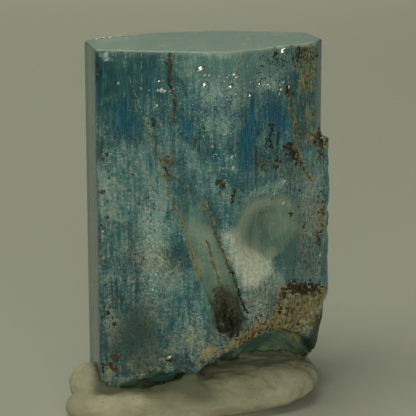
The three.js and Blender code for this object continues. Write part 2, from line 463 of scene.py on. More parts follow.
# the fissure's faint lower end and the branch beside it
FISSURE_TAIL = ((-2, 27.8), (-1.95, 26.9), (-1.9, 26), (-2, 25.6))
FISSURE_BRANCH = ((-2.3, 30), (-2.5, 29.2), (-2.4, 28), (-2.35, 26.8))
LEFT_SCRATCH = ((-6, 31), (-5.6, 29.9), (-5.2, 28.8), (-4.6, 27.3))
LEFT_SEAM = ((-4.6, 27.3), (-3.9, 25.6), (-3.4, 24.1), (-3.1, 23.1), (-2.9, 22.4), (-2.5, 20.4),
        (-2.2, 19.5), (-1.6, 18.7), (-1.2, 17.5), (-0.8, 16.3), (-0.4, 14.9), (-0.1, 13.8), (0.1, 12.7))
MIDDLE_SEAM = ((-2.2, 24.3), (-2, 23.8), (-1.8, 22.4), (-1, 21), (-0.7, 20.3))
CLEFT_SEAM = ((0.6, 19.8), (1, 19.1), (1.4, 18), (1.7, 17), (2.1, 16.1), (2.7, 14.4), (3.1, 13.3))
CLEFT_EDGE = ((3.1, 13.3), (3.5, 12.1), (3.9, 11), (4.3, 9.9), (4.6, 9.2))
CLEFT_STREAK = ((0.9, 16.2), (1.2, 15.2), (1.4, 14.2), (1.7, 13.4), (2.2, 11.8), (2.5, 10.6))
RIGHT_SEAM = ((8.1, 29.4), (8.5, 28.4), (8.5, 27.2), (8.9, 26.2), (9, 25), (9.1, 23.8), (9.5, 22.4),
        (9.9, 21.6), (10.7, 20.3))

# Where the front faces end below, from the left end to the right corner: x and z.
BROKEN_EDGE = ((-8.9, 2.4), (-6.2, 2.8), (-2.9, 3.7), (-1.6, 4.2), (0.7, 5), (3.4, 6.2), (4.8, 6.7),
        (6, 7), (7.7, 6.7), (9.7, 5.7), (10.3, 7), (10.9, 7.6), (12.1, 8.8))

# The cleft's two borders from its foot up: z and x.
CLEFT_LEFT = ((9.6, 1.2), (13.2, 0), (16.3, -0.9), (18.4, -1.7), (20.4, -2.4), (23.4, -3.2))
CLEFT_RIGHT = ((9.4, 4.5), (11.2, 3.9), (14.2, 2.8), (16.3, 2), (17.9, 1.4), (19.6, 0.5))

SCAR_CENTRE = (6.6, -4.4, 16.7)


def in_cleft(p):
    """1 on the smooth band between the cleft's two slanting borders, 0 outside it."""
    x, _, z = p.T
    left = np.interp(z, *zip(*CLEFT_LEFT))
    right = np.interp(z, *zip(*CLEFT_RIGHT))
    right = np.where(z > 19.6, left + 3.1 * smooth(24.5, 19.6, z), right)
    across = smooth(-0.2, 0.2, x - left) * smooth(-0.15, 0.15, right - x)
    return across * smooth(7.6, 9, z) * smooth(21.5, 16.5, z)


def in_outline(p, corners):
    """How far inside an outline a point is, in millimetres; below 0 outside it."""
    corners = np.array(corners, float)
    flat = p[:, [0, 2]]
    depth = np.full(len(p), 1e9)
    for a, b in zip(corners, np.roll(corners, -1, axis=0)):
        ahead = unit(b - a)
        depth = np.minimum(depth, (flat - a) @ np.array((-ahead[1], ahead[0])))
    return depth


def warped(p):
    """The same points pushed about a little, so that borders drawn on them come out ragged."""
    push = [noise(p, 0.45, seed, 2) * 0.8 + noise(p, 1.7, seed + 1, 2) * 0.3 for seed in (71, 74, 77)]
    return p + np.stack(push, axis=1)


def crystal_surface():
    """The crystal as a fine mesh: its growth lines, breaks and dents, and the masks for its colours."""
    piece = remeshed(own_copy("aquamarine_crystal_surface", CRYSTAL), CRYSTAL_VOXEL)
    mesh = piece.data
    p = per_vertex(mesh, "co")
    x, _, z = p.T
    n = per_vertex(mesh, "normal")
    side = 1 - smooth(0.35, 0.7, np.abs(n[:, 2]))
    top = smooth(0.6, 0.9, n[:, 2]) * smooth(32, 33, z)
    front = smooth(0.1, 0.4, -n[:, 1])
    left_face = smooth(0.8, 0.95, -n[:, 0])
    edge_z = np.interp(x, *zip(*BROKEN_EDGE))
    under = smooth(0.1, 0.45, -n[:, 2]) * smooth(12, 9.5, z)
    corner = blob(p, (12.1, 1.7, 17), (1.4, 1.6, 12), 0.8)
    lumpy = blob(p, (9.2, -1.4, 8.4), (3, 3.4, 3.2), 0.5) * front
    ragged = warped(p)

    # growth striations run the length of the prism; the broken end is rippled and hackly
    growth = noise(p, (0.9, 0.9, 0.02), 3) * 0.06 + noise(p, (2.6, 2.6, 0.05), 5) * 0.03
    ripples = np.sin(np.linalg.norm(p - np.array((5, -9, 3)), axis=1) * 3.2) * 0.05
    d = side * growth * (1 - top)
    d += under * (noise(p, 0.5, 11, 3) * 0.35 + ripples)
    d += corner * noise(p, 0.7, 15, 3) * 0.35
    d += lumpy * (noise(p, 0.9, 17, 3) * 0.3 + noise(p, 2.4, 18, 2) * 0.1)
    d += front * noise(p, 0.45, 19, 2) * 0.05
    lip = 1 - smooth(0, 0.45, np.abs(z - edge_z))
    d += lip * front * noise(p, 1.3, 21, 2) * 0.18
    d += blob(p, (11.2, 2, 5.6), (2.6, 6, 3.4), 0.6) * smooth(0.2, 0.6, n[:, 0]) * 0.7
    # the ragged hole in the cleft's foot
    d -= blob(ragged, (2.6, -7, 8.9), (0.55, 2.5, 1.5), 0.7) * 0.9
    d -= blob(ragged, (3.5, -6.6, 8.3), (0.9, 2.5, 0.8), 0.7) * 0.9
    # chips in the rim, in the left edge and above the broken end
    d -= blob(p, (-8.1, -6, 32.8), (0.8, 1, 0.5), 0.6) * 0.25
    d -= blob(p, (-8.7, -5.7, 31.6), (0.35, 0.8, 1.2), 0.6) * 0.2
    d -= blob(p, (-2.5, -6.8, 5.2), (0.6, 0.9, 0.4), 0.6) * 0.3
    d -= blob(p, (7.4, -3.2, 33.1), (0.6, 1, 0.3), 0.7) * 0.2
    # the scar is ringed like a shell, and a slot runs down the cleft's right border
    loose = p + (ragged - p) * 0.35
    radius = np.hypot((loose[:, 0] - 6.5) / 2.5, (loose[:, 2] - 16.8) / 2.4)
    scar = (1 - smooth(0.75, 1.1, radius)) * front
    rim_band = smooth(0.62, 0.95, radius) * (1 - smooth(1.05, 1.5, radius)) * front
    shell = np.linalg.norm(p - np.array((5, -5.6, 15.8)), axis=1)
    d += scar * np.sin(shell * 4.2) * 0.02
    slot, _ = along(p, CLEFT_EDGE)
    d -= (1 - smooth(0.1, 0.35, slot)) * front * 0.45
    # worn soft: the scar's rim and the cleft's upper end
    around_scar = blob(p, SCAR_CENTRE, (5.2, 5.2, 4.6), 0.3)
    worn = around_scar * (1 - blob(p, SCAR_CENTRE, (2.6, 2.6, 2.2), 0.5))
    worn = np.maximum(worn, blob(p, (-0.6, -7, 19.4), (3, 3, 3.2), 0.4))
    moved = p + n * d[:, None]
    # the broken right corner hangs a little lower than its neighbours
    moved[:, 2] -= 0.9 * blob(p, (10.8, 2, 3.6), (3, 6, 3.2), 0.8)
    move_to(mesh, relaxed(mesh, moved, worn * 0.8, 60))

    # the masks for the colours: what shows where
    fields = {kind: np.zeros(len(p)) for kind in PATCHES}
    fields["frost"] += 0.5 + 0.15 * noise(p, 0.16, 41, 2)
    fields["blue"] += 0.15 + 0.5 * noise(p, 0.22, 43, 2)
    for kind, patches in PATCHES.items():
        for centre, half_axes, soft, strength in patches:
            fields[kind] += strength * blob(ragged, centre, half_axes, soft)
    frost, blue, dark, beige, haze, stone, shade, ochre = fields.values()
    cleft = in_cleft(p) * front
    # painted shade down the cleft's lower end
    dark = dark + cleft * smooth(13.2, 10, z) * 0.75
    stone = np.clip(np.maximum.reduce((cleft, scar, rim_band, stone)), 0, 1) * front
    frost = frost * (1 - 0.75 * stone) * (1 - 0.9 * left_face) * (1 - top) * (1 - 0.6 * under)
    haze = haze * (1 - top) * (1 - stone)
    blue = np.clip(blue, 0, 1) * (1 - top) * (1 - stone) * (1 - left_face)
    in_shade = smooth(15.1, 14.7, z) * 0.35 + smooth(14, 11, z) * 0.45
    shade = np.clip(shade, 0, 1) + cleft * in_shade
    # the pale band round the scar, kept to its lit left and upper side: partly pale stone, partly painted
    # highlight
    lit_side = smooth(8, 4.6, x) + smooth(17, 18.6, z) * 0.6
    halo = rim_band * np.clip(lit_side, 0, 1)
    wedge = smooth(-1.1, 1, in_outline(ragged, WEDGE)) * (1 - cleft) * (1 - 0.8 * scar)
    cream = wedge * (0.7 + 0.3 * smooth(15.5, 13, z)) * front
    strip = smooth(-0.3, 0.4, in_outline(ragged, STRIP)) * (0.62 + 0.25 * noise(p, 0.5, 45, 2))
    ochre = ochre + (strip + smooth(-0.4, 0.5, in_outline(ragged, CRUST))) * front
    frost = frost - 0.2 * smooth(-0.3, 0.4, in_outline(p, STRIP))
    # the darkening also reaches faces at the right that don't face forward, for the painted shade in the
    # broken right corner
    dark = np.maximum(dark, 0) * np.maximum(front, smooth(9.5, 10.5, x))
    near_lip = 1 - smooth(0.2, 1.7, np.abs(z - edge_z - 0.3) + noise(p, 0.9, 51, 3))
    ochre = ochre + near_lip * front * smooth(-3.5, 2, x)
    # ochre spreads from the seams
    for path, reach, strength in (
        (FISSURE, 0.35, 0.5), (LEFT_SEAM, 0.35, 0.7), (MIDDLE_SEAM, 0.4, 0.5),
        (CLEFT_SEAM, 0.4, 0.8), (CLEFT_STREAK, 0.3, 0.8), (RIGHT_SEAM, 0.5, 0.7),
    ):
        distance, _ = along(p, path)
        spread = 1 - smooth(0.1, reach, distance + 0.15 * noise(p, 2, 53))
        ochre = np.maximum(ochre, strength * spread * front)
    # the bevel round the top's edge, for a painted highlight
    rim = smooth(32.8, 33.05, z) * (1 - smooth(0.85, 0.97, n[:, 2]))
    masks = dict(
        frost=frost, blue=blue, dark=dark, beige=beige, haze=haze, stone=stone, shade=shade,
        ochre=ochre, halo=halo, cream=cream, under=under, top=top, left=left_face, rim=rim)
    for name, values in masks.items():
        mask(mesh, name, values)
    mesh.materials.append(crystal_material())
    return piece


BERYL_IOR = 1.577


def crystal_material():
    m = Nodes("aquamarine")
    clouds = m.noise(0.5, 5, 0.6, distortion=0.5)
    streaks = m.noise(1, 4, 0.6, stretch=(4, 4, 0.35))
    lines = m.noise(1, 3, 0.6, stretch=(9, 9, 0.5))
    hatch = m.noise(1, 3, 0.6, stretch=(1, 1, 7))
    growth = m.noise(1, 3, 0.6, stretch=(5, 5, 0.06))
    grain = m.noise(3.2, 4, 0.7)
    sand = m.noise(5.5, 2, 0.6)
    wash = m.plus(m.times(clouds, 1.7), m.times(streaks, 1.3))
    uneven = m.plus(m.plus(wash, m.times(grain, 1.1)), m.times(hatch, 0.5))
    uneven = m.math("SUBTRACT", uneven, 2.3)
    speckle = m.plus(m.times(grain, 0.9), m.times(streaks, 0.7))

    def broken(name, pattern, share, low, high):
        """A mask from the mesh, its borders broken up by a pattern."""
        return m.ramp(m.plus(m.attribute(name), m.times(pattern, share)), low, high)

    frost = broken("frost", uneven, 1, 0.25, 1.4)
    blue = broken("blue", streaks, 2.2, 1.05, 2.15)
    dark = broken("dark", speckle, 1, 1.05, 1.75)
    beige = broken("beige", uneven, 1.3, -0.1, 0.95)
    cream = broken("cream", uneven, 0.25, 0, 0.95)
    ochre = broken("ochre", uneven, 0.9, 0.3, 1)
    frost_level, haze, rock, under, top, left = (
        m.attribute(name) for name in ("frost", "haze", "stone", "under", "top", "left"))

    # fine marks, few of them where the crystal is clear or hazy
    marked = m.times(m.ramp(frost_level, 0.05, 1, 0.04, 1), m.ramp(haze, 0.4, 1.3, 1, 0.5))
    crackle = m.math("ABSOLUTE", m.math("SUBTRACT", m.noise(2.4, 4, 0.7, distortion=0.6), 0.5))
    scratches = m.times(m.ramp(crackle, 0.036, 0.004), marked)
    flecks = m.times(m.ramp(sand, 0.54, 0.62), marked)
    pits = m.ramp(m.noise(4.6, 3, 0.7), 0.47, 0.27)
    strokes = m.times(m.ramp(lines, 0.56, 0.72), m.blend(blue, 0.35, 0.08))
    dust = m.times(m.ramp(m.noise(1.6, 5, 0.7), 0.54, 0.7), m.ramp(frost_level, 0.2, 0.8))

    teal = m.mix(m.ramp(wash, 1.3, 1.7), (0.006, 0.17, 0.24), (0.03, 0.4, 0.48))
    deep_blue = m.mix(m.ramp(lines, 0.4, 0.6), (0.0003, 0.075, 0.21), (0.002, 0.26, 0.46))
    stone = m.coats(
        m.mix(m.ramp(clouds, 0.35, 0.65), (0.19, 0.28, 0.23), (0.33, 0.4, 0.34)),
        (pits, 0.35, (0.1, 0.2, 0.18)),
        (m.ramp(streaks, 0.48, 0.66), 0.45, (0.4, 0.44, 0.3)),
        (m.ramp(sand, 0.52, 0.66), 0.4, (0.56, 0.6, 0.48)),
        (m.attribute("shade"), 0.75, (0.14, 0.2, 0.15)),
        # the scar's pale rim band: partly pale stone, partly painted highlight on its lit side
        (m.attribute("halo"), 0.85, (0.56, 0.57, 0.47)),
    )
    colour = m.coats(
        m.mix(blue, teal, deep_blue),
        (haze, 0.5, (0.31, 0.48, 0.5)),
        (frost, 1, m.mix(blue, (0.44, 0.68, 0.72), (0.15, 0.46, 0.62))),
        (pits, 0.6, (0.008, 0.11, 0.16)),
        (strokes, 1, (0.45, 0.62, 0.62)),
        (beige, 0.75, m.mix(m.ramp(grain, 0.45, 0.62), (0.1, 0.1, 0.065), (0.44, 0.4, 0.28))),
        (dust, 0.5, (0.46, 0.45, 0.3)),
        (scratches, 0.8, (0.74, 0.84, 0.8)),
        (flecks, 0.8, (0.78, 0.85, 0.77)),
        (rock, 0.78, stone),
        (under, 0.85, m.mix(m.ramp(clouds, 0.4, 0.6), (0.13, 0.2, 0.14), (0.3, 0.38, 0.26))),
        # painted reflections: the top face paler and the left face greyer, for the backdrop they mirror
        (top, 0.8, (0.38, 0.6, 0.59)),
        (left, 0.85, (0.28, 0.36, 0.36)),
        (cream, 0.9, m.mix(m.ramp(grain, 0.35, 0.6), (0.66, 0.68, 0.58), (0.95, 0.95, 0.9))),
        (ochre, 0.85, m.mix(m.ramp(grain, 0.38, 0.62), (0.14, 0.1, 0.04), (0.46, 0.4, 0.22))),
        # near black: dark patches, and painted shade in the cleft's foot and the broken right corner
        (dark, 0.9, (0.038, 0.04, 0.025)),
        # painted highlight: a pale line along the rim's bevel
        (m.attribute("rim"), 0.6, (0.62, 0.68, 0.62)),
    )

    # how see-through it is: most where it is clear, least under what covers it
    clear = m.blend(frost, m.blend(blue, 0.72, 0.35), 0.25)
    clear = m.blend(haze, clear, m.times(clear, 0.6))
    for where, share in ((rock, 0.2), (under, 0.3), (left, 0.35), (top, 0.3),
                         (cream, 0.05), (ochre, 0.05), (dark, 0.05)):
        clear = m.blend(where, clear, share)
    rough = m.blend(ochre, m.blend(rock, m.blend(frost, 0.12, 0.5), 0.4), 0.75)
    m.surface({"Base Color": colour, "Transmission Weight": clear, "Roughness": rough, "IOR": BERYL_IOR,
               "Specular IOR Level": 0.22, "Normal": m.bump(m.blend(frost, growth, grain), 0.12, 0.6)})
    absorption = m.add("VolumeAbsorption", {"Color": (0.05, 0.7, 0.82), "Density": 90.0})
    m.put(absorption.outputs[0], m.output.inputs["Volume"])
    return m.material


# ---- Rust, tubes, crust and flakes on the crystal ----


def iron_material():
    """From black through brown to orange, by each grain's tone."""
    m = Nodes("iron_rust")
    tone = m.plus(m.attribute("tone"), m.times(m.noise(7, 3, 0.6), 0.6))
    colour = m.mix(m.ramp(tone, 0.4, 0.85), (0.012, 0.01, 0.006), (0.085, 0.052, 0.018))
    colour = m.mix(m.ramp(tone, 0.8, 1.4), colour, (0.43, 0.31, 0.12))
    m.surface({"Base Color": colour, "Roughness": m.ramp(tone, 0.2, 1, 0.45, 0.9),
               "Normal": m.bump(m.noise(14, 3, 0.6), 0.02, 0.6)})
    return m.material


def flake_material():
    """From dull blue-grey to a mirror-like white, by each flake's tone; the pale ones are painted glints.
    """
    m = Nodes("painted_glint_flakes")
    tone = m.plus(m.attribute("tone"), m.times(m.noise(6, 2, 0.5), 0.2))
    colour = m.mix(m.ramp(tone, 0.2, 1), (0.45, 0.62, 0.62), (0.92, 0.95, 0.92))
    m.surface({"Base Color": colour, "Roughness": m.ramp(tone, 0.3, 1.1, 0.5, 0.25),
               "Metallic": m.ramp(tone, 0.8, 0.95)})
    return m.material


def rust_seams(tree, material):
    """Iron oxide in the cracks: a dark core, and loose ochre grains to either side; near-black grains in
    the cleft's foot and along its lower right border are painted shade.
    """
    g = Grains(tree, 101)
    beside_streak = [(x + 0.12, z) for x, z in CLEFT_STREAK]
    for path, width, tone, wander, skip in (
        (FISSURE, 0.13, 0.2, 0.6, 0), (FISSURE[:4], 0.14, 0.42, 0.6, 0),
        (FISSURE, 0.06, 0.8, 1.8, 0.4), (FISSURE_TAIL, 0.045, 0.55, 0.6, 0.4),
        (FISSURE_BRANCH, 0.06, 0.85, 0.6, 0.3), (LEFT_SEAM[:2], 0.07, 0.95, 0.6, 0.3),
        (LEFT_SEAM[1:4], 0.06, 0.75, 0.6, 0), (LEFT_SEAM[4:6], 0.045, 0.8, 0.6, 0.5),
        (LEFT_SEAM[6:], 0.06, 0.8, 0.6, 0.1), (LEFT_SEAM[8:], 0.05, 0.95, 1.4, 0.4),
        (MIDDLE_SEAM, 0.05, 0.8, 0.6, 0.4), (CLEFT_SEAM, 0.06, 0.72, 0.6, 0.1),
        # the near-black core along the cleft's lower right border is painted shadow under its raised wall
        (CLEFT_SEAM[3:], 0.07, 0.35, 0.6, 0), (CLEFT_EDGE, 0.15, 0.1, 0.6, 0),
        (CLEFT_EDGE, 0.06, 0.7, 2.6, 0.5), (CLEFT_STREAK, 0.05, 0.45, 1, 0.35),
        (beside_streak, 0.04, 0.6, 2, 0.6),
    ):
        g.line(path, width, tone, wander=wander, skip=skip)
    # near-black grains in the cleft's foot, painted shade in its hole, and rust grains
    g.scatters(
        ((3.3, 8.9), (1, 1.4), 80, 0.09, 0.02), ((2.9, 10.4), (1.2, 2), 60, 0.06, 0.15),
        ((2.6, 9.8), (1.2, 2.4), 40, 0.06, 0.6),
    )
    # fine stains beside the cleft's borders
    for x_shift in (-0.25, 0.3):
        g.line([(x + x_shift, z) for x, z in LEFT_SEAM[7:]], 0.035, 0.75, wander=3, skip=0.7)
        g.line([(x + x_shift, z) for x, z in CLEFT_SEAM], 0.035, 0.7, wander=3, skip=0.7)
    g.line(RIGHT_SEAM, 0.14, 0.7, wander=1.2, height=0.06, skip=0.1)
    g.line(RIGHT_SEAM, 0.07, 0.2, wander=1.4, skip=0.5)
    g.line(RIGHT_SEAM, 0.05, 0.95, wander=3.2, skip=0.4)
    # a stained joint where two seams meet, and a black slit under it
    g.line(((-3, 23.3), (-2.1, 23.2)), 0.12, 0.6)
    g.scatter((-2.6, 23.7), (0.25, 0.25), 18, 0.09, 0.6)
    g.line(((-2.9, 22.9), (-2.6, 22.4)), 0.1, 0.02)
    g.scatters(
        ((-2.6, 22.1), (0.25, 0.3), 18, 0.09, 0.6), ((-1.9, 21.9), (0.12, 0.2), 5, 0.11, 0.65),
        ((-2.6, 32.3), (0.08, 0.2), 4, 0.12, 0.5), ((-3.8, 27), (0.08, 0.3), 6, 0.13, 0.15),
        ((8.15, 29.3), (0.2, 0.4), 9, 0.16, 0.05),
    )
    # grains along the broken lip
    for a, b in zip(BROKEN_EDGE[1:9], BROKEN_EDGE[2:10]):
        g.line((a, b), 0.08, 0.55, wander=3, skip=0.5)
        g.line((a, b), 0.06, 0.1, wander=1.5, skip=0.5)
        g.line(((a[0], a[1] + 0.5), (b[0], b[1] + 0.5)), 0.05, 0.45, wander=5, skip=0.65)
    g.line(((6.8, 6.75), (8.1, 6.65)), 0.14, 0.05)
    g.line(((4, 6.8), (5.6, 7.3), (7.2, 7.2)), 0.14, 0.5, wander=2, height=0.08)
    g.line(((4.6, 7.2), (6, 7.7), (7.4, 7.9)), 0.1, 0.85, wander=2.6, height=0.06, skip=0.3)
    # black streaks that break the lower edge of the cleft's foot, painted shade in its hole, and brown
    # ones up its left side
    g.line(((2.6, 9.7), (2.7, 8)), 0.15, 0.02, height=0.08)
    g.line(((3.1, 9.9), (3.2, 7.5)), 0.2, 0.02, height=0.08)
    g.line(((3.6, 9.3), (3.7, 7.4)), 0.17, 0.02, height=0.08)
    g.line(((3.95, 8.9), (4.05, 7.9)), 0.11, 0.15, height=0.06)
    g.line(((1.5, 11.8), (1.8, 10.2), (2.3, 8.6)), 0.08, 0.3, wander=1.6, height=0.06, skip=0.25)
    g.scatter((3.3, 8), (0.8, 0.3), 26, 0.07, 0.3)
    g.piece("rust_seams", material)


# Single grains: x, z, half width and tone, from black through brown to orange.
SPECKS = (
    (-8, 23.8, 0.17, 0.25), (-8.1, 22.8, 0.15, 0.05), (-7.8, 21.8, 0.14, 0.35), (-7.9, 22.3, 0.09, 0.1),
    (-8.5, 20.4, 0.26, 0.4), (-7, 20, 0.11, 0.4), (-5.7, 22.1, 0.14, 0.1), (-5.2, 19.5, 0.14, 0.5),
    (-6.1, 18.6, 0.11, 0.2), (-8.1, 18.1, 0.2, 0.4), (-8.6, 17.4, 0.14, 0.2), (-8.4, 17.1, 0.1, 0.6),
    (-8.6, 14.5, 0.17, 0.6), (-7.4, 13.9, 0.16, 0.7), (-4.3, 21.8, 0.12, 0.7), (-4.2, 21.2, 0.12, 0.8),
    (-4.3, 20.1, 0.12, 0.45), (-4.3, 19, 0.1, 0.7), (-4.1, 18.5, 0.14, 0.35), (-4.2, 17.9, 0.11, 0.5),
    (-4.2, 17.3, 0.11, 0.8), (-4.2, 16.9, 0.12, 0.8), (-4.6, 19.5, 0.08, 0.75), (-8.3, 11.7, 0.18, 0.1),
    (-7.4, 10.6, 0.16, 0.6), (-7.9, 9.8, 0.14, 0.1), (-8.1, 9.2, 0.25, 0.05), (-8.6, 8.8, 0.2, 0.05),
    (-7.7, 8.7, 0.14, 0.05), (-7.5, 8.1, 0.28, 0.45), (-7.6, 5.1, 0.42, 0.4), (-8, 4.2, 0.4, 0.5),
    (-7.5, 3.8, 0.3, 0.5), (-4.3, 3.8, 0.15, 0.15), (-2.6, 5, 0.3, 0.3), (-2.1, 5.1, 0.16, 0.7),
    (-2.5, 10.3, 0.13, 0.15), (-3.1, 7.2, 0.12, 0.4), (-4.5, 12.2, 0.12, 0.6), (-4.9, 11.5, 0.1, 0.6),
    (1.5, 6.7, 0.13, 0.8), (3.4, 6.3, 0.2, 0.35), (4.5, 7.8, 0.2, 0.15), (5.1, 7.7, 0.15, 0.5),
    (5.3, 8.8, 0.15, 0.35), (5.8, 8.8, 0.18, 0.3), (6.2, 8, 0.2, 0.1), (2.1, 16.8, 0.13, 0.05),
    (5.8, 18.2, 0.13, 0.55), (8.6, 17.6, 0.22, 0.3), (9.3, 18.2, 0.14, 0.55), (9.4, 19.8, 0.18, 0.4),
    (10, 16.3, 0.2, 0.2), (10.1, 12.7, 0.14, 0.45), (11.5, 12.2, 0.15, 0.35), (3.7, 19.8, 0.15, 0.55),
    (7.1, 32.6, 0.26, 0.05), (8.1, 32.6, 0.17, 0.05), (7.8, 31.6, 0.14, 0.1), (5.5, 31.2, 0.12, 0.15),
    (5.6, 32.4, 0.12, 0.4), (6.3, 32.2, 0.12, 0.4), (5.6, 31.7, 0.13, 0.5), (6.6, 31.9, 0.12, 0.45),
    (9.2, 32.9, 0.22, 0.4), (9.8, 32.7, 0.28, 0.6), (10, 31.6, 0.22, 0.6), (9.2, 31.1, 0.22, 0.6),
    (11, 32, 0.3, 0.5), (10.1, 29.1, 0.22, 0.75), (10.7, 26.7, 0.18, 0.6), (9.7, 25.1, 0.3, 0.7),
    (11.5, 23.6, 0.3, 0.35), (11.7, 22.6, 0.25, 0.4), (8.7, 28.8, 0.16, 0.15), (8.5, 27.3, 0.14, 0.2),
    (-0.1, 24.9, 0.08, 0.3), (1.4, 24.4, 0.08, 0.1), (1.7, 24, 0.08, 0.1), (6.3, 22.2, 0.13, 0.6),
    (5.8, 22.5, 0.13, 0.6), (6.1, 19.2, 0.1, 0.4), (6.8, 19.4, 0.1, 0.4),
)


def iron_specks(tree, material):
    """Single grains and small blots of iron oxide."""
    g = Grains(tree, 102)
    for x, z, size, tone in SPECKS:
        count, share = (16, 0.32) if size > 0.2 else (5, 0.45)
        g.scatter((x, z), (size * 0.9, size * 0.9), count, size * share, tone)
    # elongated blots
    g.line(((-3.9, 21), (-3.5, 20.5)), 0.06, 0.05)
    g.scatters(
        ((1.9, 21.7), (0.35, 0.22), 16, 0.09, 0.15), ((2.2, 21.4), (0.34, 0.3), 26, 0.1, 0.4),
        ((2, 20.8), (0.4, 0.1), 5, 0.1, 0.75),
    )
    g.line(((3.4, 21), (3.1, 19.8)), 0.17, 0.3)
    g.line(((0, 26.2), (-0.1, 25)), 0.06, 0.35, gap=0.2)
    g.line(((3.5, 26), (3.6, 24.8)), 0.05, 0.7, skip=0.3)
    g.line(((3.3, 25.4), (3.3, 24.6)), 0.04, 0.75, skip=0.3)
    g.line(((11.3, 15.2), (11.6, 14)), 0.14, 0.45)
    g.line(((11.8, 16.9), (11.8, 15.6)), 0.07, 0.7)
    g.line(((11.4, 19.2), (11.8, 17.4), (11.6, 15.6), (11.5, 13.8)), 0.12, 0.35, wander=2.4, skip=0.45)
    g.line(((11.7, 18.4), (11.9, 16.4), (11.8, 14.4)), 0.09, 0.85, wander=2.4, skip=0.4)
    g.scatters(
        ((11.5, 24.2), (0.9, 0.7), 44, 0.12, 0.25), ((11, 24.6), (1.2, 0.5), 30, 0.1, 0.8),
        ((10.2, 30.4), (1.2, 2.8), 40, 0.13, 0.75), ((9.6, 32.2), (0.9, 0.9), 34, 0.12, 0.3),
        ((7, 31.8), (1.5, 1.7), 60, 0.06, 0.08), ((5.4, 31.4), (0.6, 1.8), 26, 0.05, 0.3),
        ((11.8, 17.2), (0.3, 0.3), 8, 0.15, 0.6),
    )
    g.line(((-8.8, 32), (-8.7, 30.8)), 0.08, 0.35)
    g.line(((-8.7, 4.2), (-8.7, 3.3)), 0.12, 0.05)
    # a fine sprinkling in the stained strip, under the termination and beside the tubes
    g.scatters(
        ((9.8, 31.4), (0.9, 1.6), 70, 0.075, 0.6), ((10.2, 28.6), (0.9, 2.2), 50, 0.07, 0.8),
        ((9.9, 25.4), (0.7, 1.4), 40, 0.08, 0.65), ((7.4, 32), (1, 0.9), 30, 0.06, 0.25),
        ((5.8, 30.6), (0.5, 1.6), 30, 0.05, 0.45), ((6.2, 22.9), (0.7, 0.8), 45, 0.07, 0.5),
        ((7.2, 23.6), (0.9, 0.9), 40, 0.07, 0.3), ((11.6, 23), (0.5, 1), 25, 0.09, 0.5),
        ((8.2, 19), (1.6, 2), 26, 0.05, 0.5), ((-7.6, 5.4), (1, 2.4), 30, 0.06, 0.5),
        ((-4.4, 18.6), (0.5, 2.4), 24, 0.05, 0.6), ((1.6, 7.4), (2.4, 1.4), 36, 0.06, 0.6),
        ((4.9, 8.4), (1.2, 1), 36, 0.07, 0.55), ((-8.2, 12), (0.5, 4), 24, 0.06, 0.4),
    )
    g.piece("iron_specks", material)


def dark_tubes(tree, material):
    """Upright red-brown growth tubes in the deep blue."""
    g = Grains(tree, 103)
    g.line(((6.4, 26.3), (7.1, 26.2)), 0.19, 0.1)
    g.line(((6.8, 26.1), (6.7, 25.6)), 0.17, 0.05)
    g.line(((6.6, 25.6), (6.6, 24.3)), 0.17, 0.02)
    g.line(((6.2, 25.2), (6.2, 24.2)), 0.12, 0.2)
    g.line(((7.3, 25.4), (7.3, 24.4)), 0.14, 0.1)
    g.line(((5.5, 26.1), (5.5, 25.6)), 0.13, 0.35)
    g.line(((5.3, 24.8), (5.25, 22.6)), 0.09, 0.35, wander=1.2)
    g.scatters(
        ((6.8, 24.3), (0.2, 0.15), 6, 0.12, 0.05), ((7.2, 22.7), (0.5, 0.5), 24, 0.11, 0.35),
        ((8.3, 24), (0.5, 0.5), 30, 0.13, 0.2), ((8.8, 23.2), (0.45, 0.6), 34, 0.14, 0.15),
    )
    g.line(((5.3, 23.6), (5.35, 21.4)), 0.09, 0.45, wander=1.6)
    g.piece("dark_tubes", material)


def iron_crust(tree, material):
    """The lumpy iron-stained matrix low on the right."""
    g = Grains(tree, 104)
    ridge = ((7.9, 10.4), (8.5, 10.9), (9, 11), (9.5, 10.4), (10.1, 9.9), (10.6, 10.1), (11.2, 9.9),
        (11.8, 9.5))
    g.line(ridge, 0.22, 0.2, wander=1.8, height=0.18)
    g.line([(x, z - 0.35) for x, z in ridge], 0.22, 0.4, wander=1.8, height=0.14)
    g.line(ridge, 0.14, 0.75, wander=2.6, height=0.1, skip=0.4)
    g.line(((9.4, 10.6), (10.2, 9.9), (11.3, 9.8)), 0.2, 0.05, gap=0.2, wander=1.6, height=0.12)
    g.line(((11.8, 9.4), (11.5, 8.6), (11.3, 7.9)), 0.12, 0.7, wander=1.4, height=0.08)
    g.scatters(
        ((8.6, 8.2), (1.8, 1.7), 110, 0.1, 0.75), ((10.2, 8.2), (1.6, 1.6), 110, 0.1, 0.95),
        ((9.2, 8.4), (2, 1.9), 40, 0.12, 0.5), ((9.4, 10.3), (1.6, 0.5), 50, 0.12, 0.15),
        ((7.6, 8.9), (0.3, 1.4), 24, 0.09, 0.65),
    )
    for x, z, size, tone in (
        (7.7, 8.7, 0.14, 0.05), (8.7, 7.7, 0.16, 0.9), (9.4, 6.9, 0.13, 0.1),
        (8.4, 8.8, 0.1, 0.15), (7.7, 8.1, 0.12, 0.95), (11.3, 8.1, 0.15, 0.95),
    ):
        g.scatter((x, z), (0.12, 0.2), 5, size, tone)
    g.piece("iron_crust", material)


